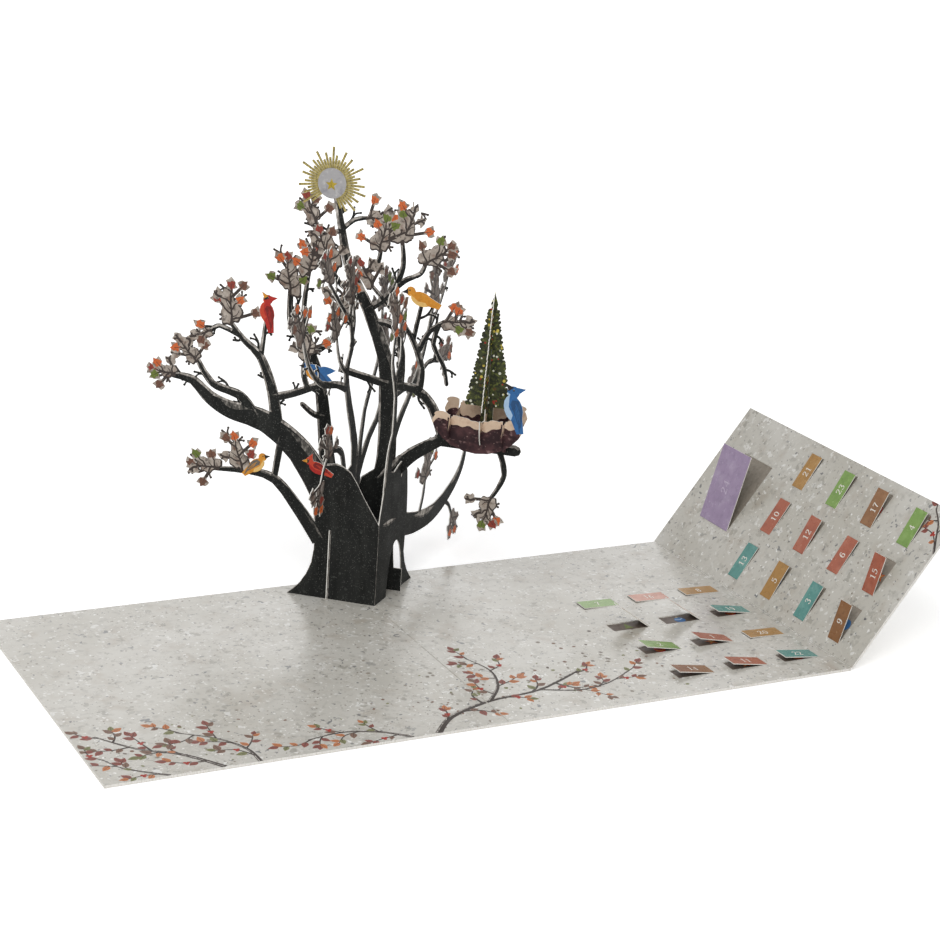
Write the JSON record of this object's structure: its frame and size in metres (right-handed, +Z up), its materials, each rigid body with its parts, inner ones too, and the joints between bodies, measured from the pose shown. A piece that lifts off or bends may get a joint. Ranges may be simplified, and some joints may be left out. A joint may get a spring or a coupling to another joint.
{
  "type": "pop-up advent calendar",
  "caption": "Folded card calendar with small hinged numbered doors, a raised end flap and a standing pop-up paper tree with a nest, a fir and birds.",
  "frame": {"origin": "centre of the flat part's underside, on the mid fold", "axes": "+X along the card towards the end flap, +Y to the back edge, +Z up"},
  "size_m": [0.71, 0.3816, 0.3691],
  "materials": {
    "board": "matte",
    "top_print": "gloss",
    "black_card": "satin",
    "nest_print": "satin",
    "fir_print": "satin",
    "red_print": "satin",
    "yellow_print": "satin",
    "blue_print": "satin",
    "gold_print": "satin",
    "door_green": "gloss",
    "door_terracotta": "gloss",
    "door_ochre": "gloss",
    "door_teal": "gloss",
    "door_brown": "gloss",
    "door_salmon": "gloss",
    "door_purple": "gloss"
  },
  "bodies": {
    "card": {"base_board": "board", "base_sheet": "top_print", "tree_front_sheet": "black_card", "tree_nest_sheet": "black_card", "tree_forward_sheet": "black_card", "nest_front": "nest_print", "nest_rear": "nest_print", "nest_cross_left": "nest_print", "nest_cross_right": "nest_print", "fir_long": "fir_print", "fir_cross": "fir_print", "bird_cardinal": "red_print", "bird_orange": "yellow_print", "bird_red": "red_print", "bird_blue": "blue_print", "bird_yellow": "yellow_print", "bird_jay": "blue_print", "topper": "gold_print"},
    "flap": {"flap_board": "board", "flap_sheet": "top_print"},
    "door_1": {"door_1": "door_terracotta"},
    "door_2": {"door_2": "door_green"},
    "door_3": {"door_3": "door_teal"},
    "door_4": {"door_4": "door_green"},
    "door_5": {"door_5": "door_ochre"},
    "door_6": {"door_6": "door_terracotta"},
    "door_7": {"door_7": "door_green"},
    "door_8": {"door_8": "door_ochre"},
    "door_9": {"door_9": "door_brown"},
    "door_10": {"door_10": "door_terracotta"},
    "door_11": {"door_11": "door_terracotta"},
    "door_12": {"door_12": "door_terracotta"},
    "door_13": {"door_13": "door_teal"},
    "door_14": {"door_14": "door_brown"},
    "door_15": {"door_15": "door_terracotta"},
    "door_16": {"door_16": "door_salmon"},
    "door_17": {"door_17": "door_brown"},
    "door_18": {"door_18": "door_brown"},
    "door_19": {"door_19": "door_teal"},
    "door_20": {"door_20": "door_ochre"},
    "door_21": {"door_21": "door_ochre"},
    "door_22": {"door_22": "door_teal"},
    "door_23": {"door_23": "door_green"},
    "door_24": {"door_24": "door_purple"},
    "door_25": {"door_25": "door_salmon"}
  },
  "joints": [
    {"name": "flap_fold", "type": "hinge", "parent": "card", "child": "flap", "pos_m": [0.309, 0, 0.0022], "axis": [0, -1, 0], "range_deg": [-53, 8]},
    {"name": "door_1_hinge", "type": "hinge", "parent": "card", "child": "door_1", "pos_m": [0.248, -0.06525, 0.0022], "axis": [0, 1, 0], "range_deg": [-12, 83]},
    {"name": "door_2_hinge", "type": "hinge", "parent": "card", "child": "door_2", "pos_m": [0.198, -0.06525, 0.0022], "axis": [0, 1, 0], "range_deg": [-11, 84]},
    {"name": "door_3_hinge", "type": "hinge", "parent": "flap", "child": "door_3", "pos_m": [0.31562, -0.06525, 0.01098], "axis": [0, -1, 0], "range_deg": [-7, 68]},
    {"name": "door_4_hinge", "type": "hinge", "parent": "flap", "child": "door_4", "pos_m": [0.37279, -0.11425, 0.08686], "axis": [0, -1, 0], "range_deg": [-7, 88]},
    {"name": "door_5_hinge", "type": "hinge", "parent": "flap", "child": "door_5", "pos_m": [0.31562, -0.01625, 0.01098], "axis": [0, -1, 0], "range_deg": [-7, 68]},
    {"name": "door_6_hinge", "type": "hinge", "parent": "flap", "child": "door_6", "pos_m": [0.34421, -0.06525, 0.04892], "axis": [0, -1, 0], "range_deg": [-4, 91]},
    {"name": "door_7_hinge", "type": "hinge", "parent": "card", "child": "door_7", "pos_m": [0.198, 0.03275, 0.0022], "axis": [0, 1, 0], "range_deg": [-2, 93]},
    {"name": "door_8_hinge", "type": "hinge", "parent": "card", "child": "door_8", "pos_m": [0.298, 0.03275, 0.0022], "axis": [0, 1, 0], "range_deg": [-2, 73]},
    {"name": "door_9_hinge", "type": "hinge", "parent": "flap", "child": "door_9", "pos_m": [0.31562, -0.11425, 0.01098], "axis": [0, -1, 0], "range_deg": [-21, 54]},
    {"name": "door_10_hinge", "type": "hinge", "parent": "flap", "child": "door_10", "pos_m": [0.34421, 0.03275, 0.04892], "axis": [0, -1, 0], "range_deg": [-3, 92]},
    {"name": "door_11_hinge", "type": "hinge", "parent": "card", "child": "door_11", "pos_m": [0.248, -0.11425, 0.0022], "axis": [0, 1, 0], "range_deg": [-9, 86]},
    {"name": "door_12_hinge", "type": "hinge", "parent": "flap", "child": "door_12", "pos_m": [0.34421, -0.01625, 0.04892], "axis": [0, -1, 0], "range_deg": [-8, 87]},
    {"name": "door_13_hinge", "type": "hinge", "parent": "flap", "child": "door_13", "pos_m": [0.31562, 0.03275, 0.01098], "axis": [0, -1, 0], "range_deg": [-3, 72]},
    {"name": "door_14_hinge", "type": "hinge", "parent": "card", "child": "door_14", "pos_m": [0.198, -0.11425, 0.0022], "axis": [0, 1, 0], "range_deg": [-9, 86]},
    {"name": "door_15_hinge", "type": "hinge", "parent": "flap", "child": "door_15", "pos_m": [0.34421, -0.11425, 0.04892], "axis": [0, -1, 0], "range_deg": [-22, 73]},
    {"name": "door_16_hinge", "type": "hinge", "parent": "card", "child": "door_16", "pos_m": [0.248, 0.03275, 0.0022], "axis": [0, 1, 0], "range_deg": [-2, 93]},
    {"name": "door_17_hinge", "type": "hinge", "parent": "flap", "child": "door_17", "pos_m": [0.37279, -0.06525, 0.08686], "axis": [0, -1, 0], "range_deg": [-10, 85]},
    {"name": "door_18_hinge", "type": "hinge", "parent": "card", "child": "door_18", "pos_m": [0.198, -0.01625, 0.0022], "axis": [0, 1, 0], "range_deg": [-35, 60]},
    {"name": "door_19_hinge", "type": "hinge", "parent": "card", "child": "door_19", "pos_m": [0.298, -0.01625, 0.0022], "axis": [0, 1, 0], "range_deg": [-9, 66]},
    {"name": "door_20_hinge", "type": "hinge", "parent": "card", "child": "door_20", "pos_m": [0.298, -0.06525, 0.0022], "axis": [0, 1, 0], "range_deg": [-2, 73]},
    {"name": "door_21_hinge", "type": "hinge", "parent": "flap", "child": "door_21", "pos_m": [0.37279, 0.03275, 0.08686], "axis": [0, -1, 0], "range_deg": [-4, 91]},
    {"name": "door_22_hinge", "type": "hinge", "parent": "card", "child": "door_22", "pos_m": [0.298, -0.11425, 0.0022], "axis": [0, 1, 0], "range_deg": [-7, 68]},
    {"name": "door_23_hinge", "type": "hinge", "parent": "flap", "child": "door_23", "pos_m": [0.37279, -0.01625, 0.08686], "axis": [0, -1, 0], "range_deg": [-6, 89]},
    {"name": "door_24_hinge", "type": "hinge", "parent": "flap", "child": "door_24", "pos_m": [0.33428, 0.0965, 0.03574], "axis": [0, -1, 0], "range_deg": [-22, 73]},
    {"name": "door_25_hinge", "type": "hinge", "parent": "card", "child": "door_25", "pos_m": [0.248, -0.01625, 0.0022], "axis": [0, 1, 0], "range_deg": [-33, 62]}
  ]
}
